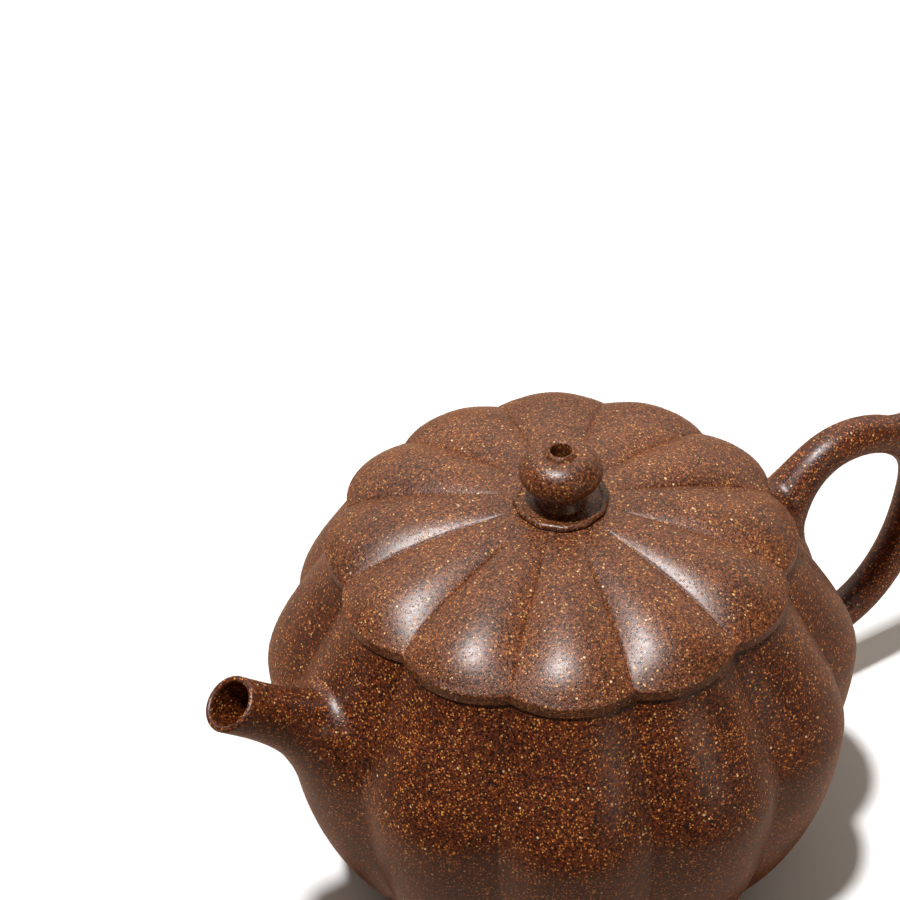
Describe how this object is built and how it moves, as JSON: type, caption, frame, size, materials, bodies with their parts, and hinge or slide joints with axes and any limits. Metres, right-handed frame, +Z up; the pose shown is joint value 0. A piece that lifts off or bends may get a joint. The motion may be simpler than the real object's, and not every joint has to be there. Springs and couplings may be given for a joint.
{
  "type": "teapot",
  "caption": "Small ribbed unglazed clay teapot with a petal lid, pierced knob, short upturned spout with an inner strainer, and an ear handle with a thumb spur.",
  "frame": {"origin": "centre of the foot ring's resting plane, on the axis of the pot", "axes": "+Z up along the pot's axis, the spout points to -X and the handle to +X"},
  "size_m": [0.1347, 0.0928, 0.0768],
  "materials": {
    "pot_clay": "matt unglazed brown clay with tan grains",
    "lid_clay": "unglazed brown clay with tan grains and a soft sheen"
  },
  "bodies": {
    "pot": {"body_wall": "pot_clay", "shoulder_disc": "pot_clay", "mouth_ring": "pot_clay", "base_disc": "pot_clay", "foot_ring": "pot_clay", "spout": "pot_clay", "spout_strainer": "pot_clay", "handle": "pot_clay", "thumb_spur": "pot_clay"},
    "lid_ring": {"lid_flange": "lid_clay"},
    "lid": {"lid_dome": "lid_clay", "knob_seat": "lid_clay", "knob": "lid_clay"}
  },
  "joints": [
    {"name": "lid_lift", "type": "slide", "parent": "pot", "child": "lid_ring", "axis": [0, 0, 1], "range_m": [0, 0.06]},
    {"name": "lid_turn", "type": "hinge", "parent": "lid_ring", "child": "lid", "pos_m": [0, 0, 0.0575], "axis": [0, 0, 1], "continuous": true}
  ]
}
